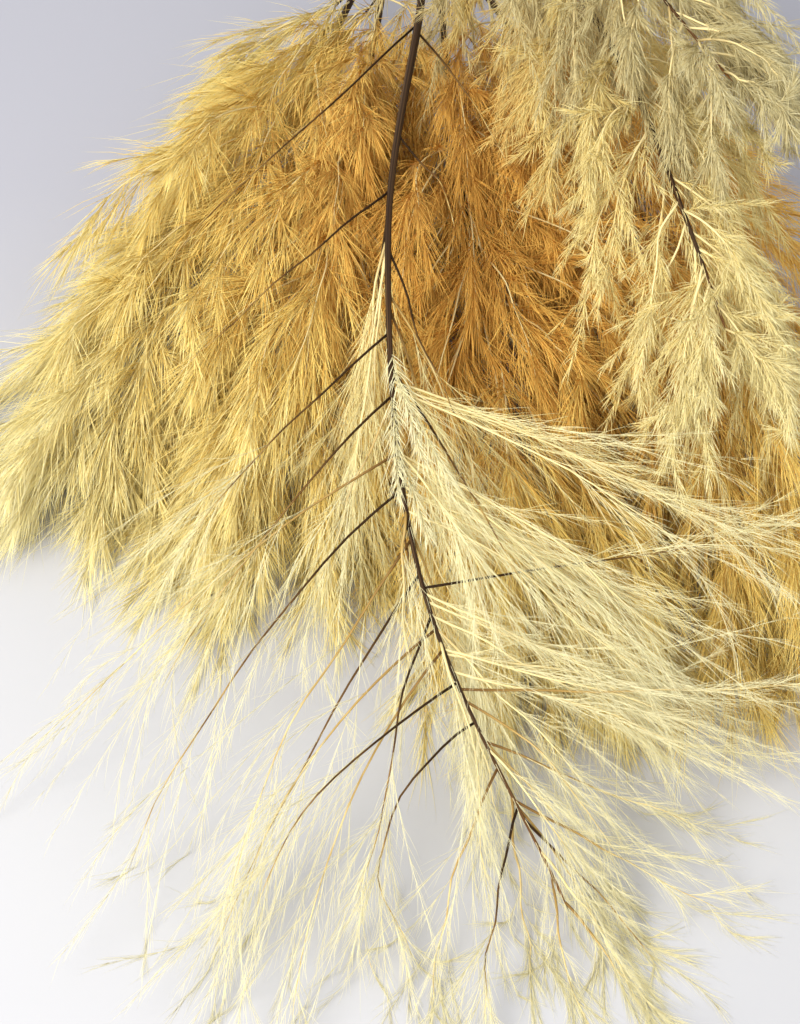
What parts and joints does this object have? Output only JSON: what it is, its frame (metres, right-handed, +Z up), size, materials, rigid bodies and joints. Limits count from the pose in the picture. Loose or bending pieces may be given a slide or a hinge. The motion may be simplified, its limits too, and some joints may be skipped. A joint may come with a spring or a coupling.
{
  "type": "pampas grass bundle",
  "caption": "Tied bundle of dried pampas grass lying on a surface, with feathery straw-coloured plumes fanning out from brown stems.",
  "frame": {"origin": "middle of the bundle's footprint, on the surface that it lies on", "axes": "+Z up; Y along the bundle, with the plume tips towards -Y and the cut stem ends towards +Y; X across the bundle"},
  "size_m": [0.2926, 0.694, 0.14],
  "materials": {
    "plume": "soft matt silky plant hair, pale straw at the tips and golden brown inside",
    "stem": "smooth dry grass stem with fine grain along it, tan at the cut end and dark brown inside the plume",
    "twine": "matt twisted jute"
  },
  "bodies": {
    "root": {"stem_left_outer": "stem", "stem_right_outer": "stem", "stem_left_inner": "stem", "stem_right_inner": "stem", "stem_centre_front": "stem", "stem_right_front": "stem", "stem_top": "stem", "plume_left_outer": "plume", "plume_right_outer": "plume", "plume_left_inner": "plume", "plume_right_inner": "plume", "plume_centre_front": "plume", "plume_right_front": "plume", "plume_top": "plume", "twine_tie": "twine"}
  },
  "joints": []
}
